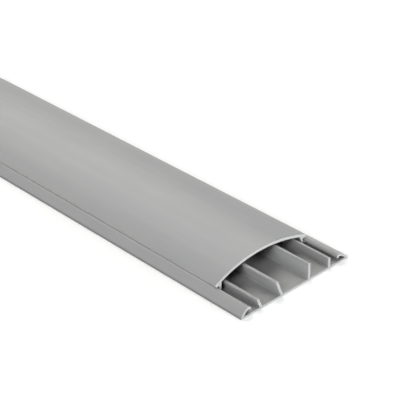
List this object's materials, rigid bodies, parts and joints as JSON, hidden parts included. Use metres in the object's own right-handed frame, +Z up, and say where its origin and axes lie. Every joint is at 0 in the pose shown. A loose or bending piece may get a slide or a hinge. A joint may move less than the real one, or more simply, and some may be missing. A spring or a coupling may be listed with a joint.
{
  "type": "floor cord cover",
  "caption": "Low arched floor cord cover: a flat extruded base with leaning dividers and hooked edge wings, and a clip-on lid set back from its end to show the cable channels.",
  "frame": {"origin": "middle of the underside of the box round both pieces, on the floor plane", "axes": "+Y along the length, away from the end where the lid is set back; +Z up; +X across"},
  "size_m": [0.092, 2.0334, 0.0169],
  "materials": {
    "base_plastic": "satin extruded grey PVC with faint lengthwise die lines and pale sawn ends",
    "lid_plastic": "satin extruded grey PVC, smooth outside, with faint lengthwise die lines and pale sawn ends"
  },
  "bodies": {
    "base": {"base": "base_plastic"},
    "lid": {"lid": "lid_plastic"}
  },
  "joints": [
    {"name": "lid_slide", "type": "slide", "parent": "base", "child": "lid", "axis": [0, 1, 0], "range_m": [-0.0334, 0.4]}
  ]
}
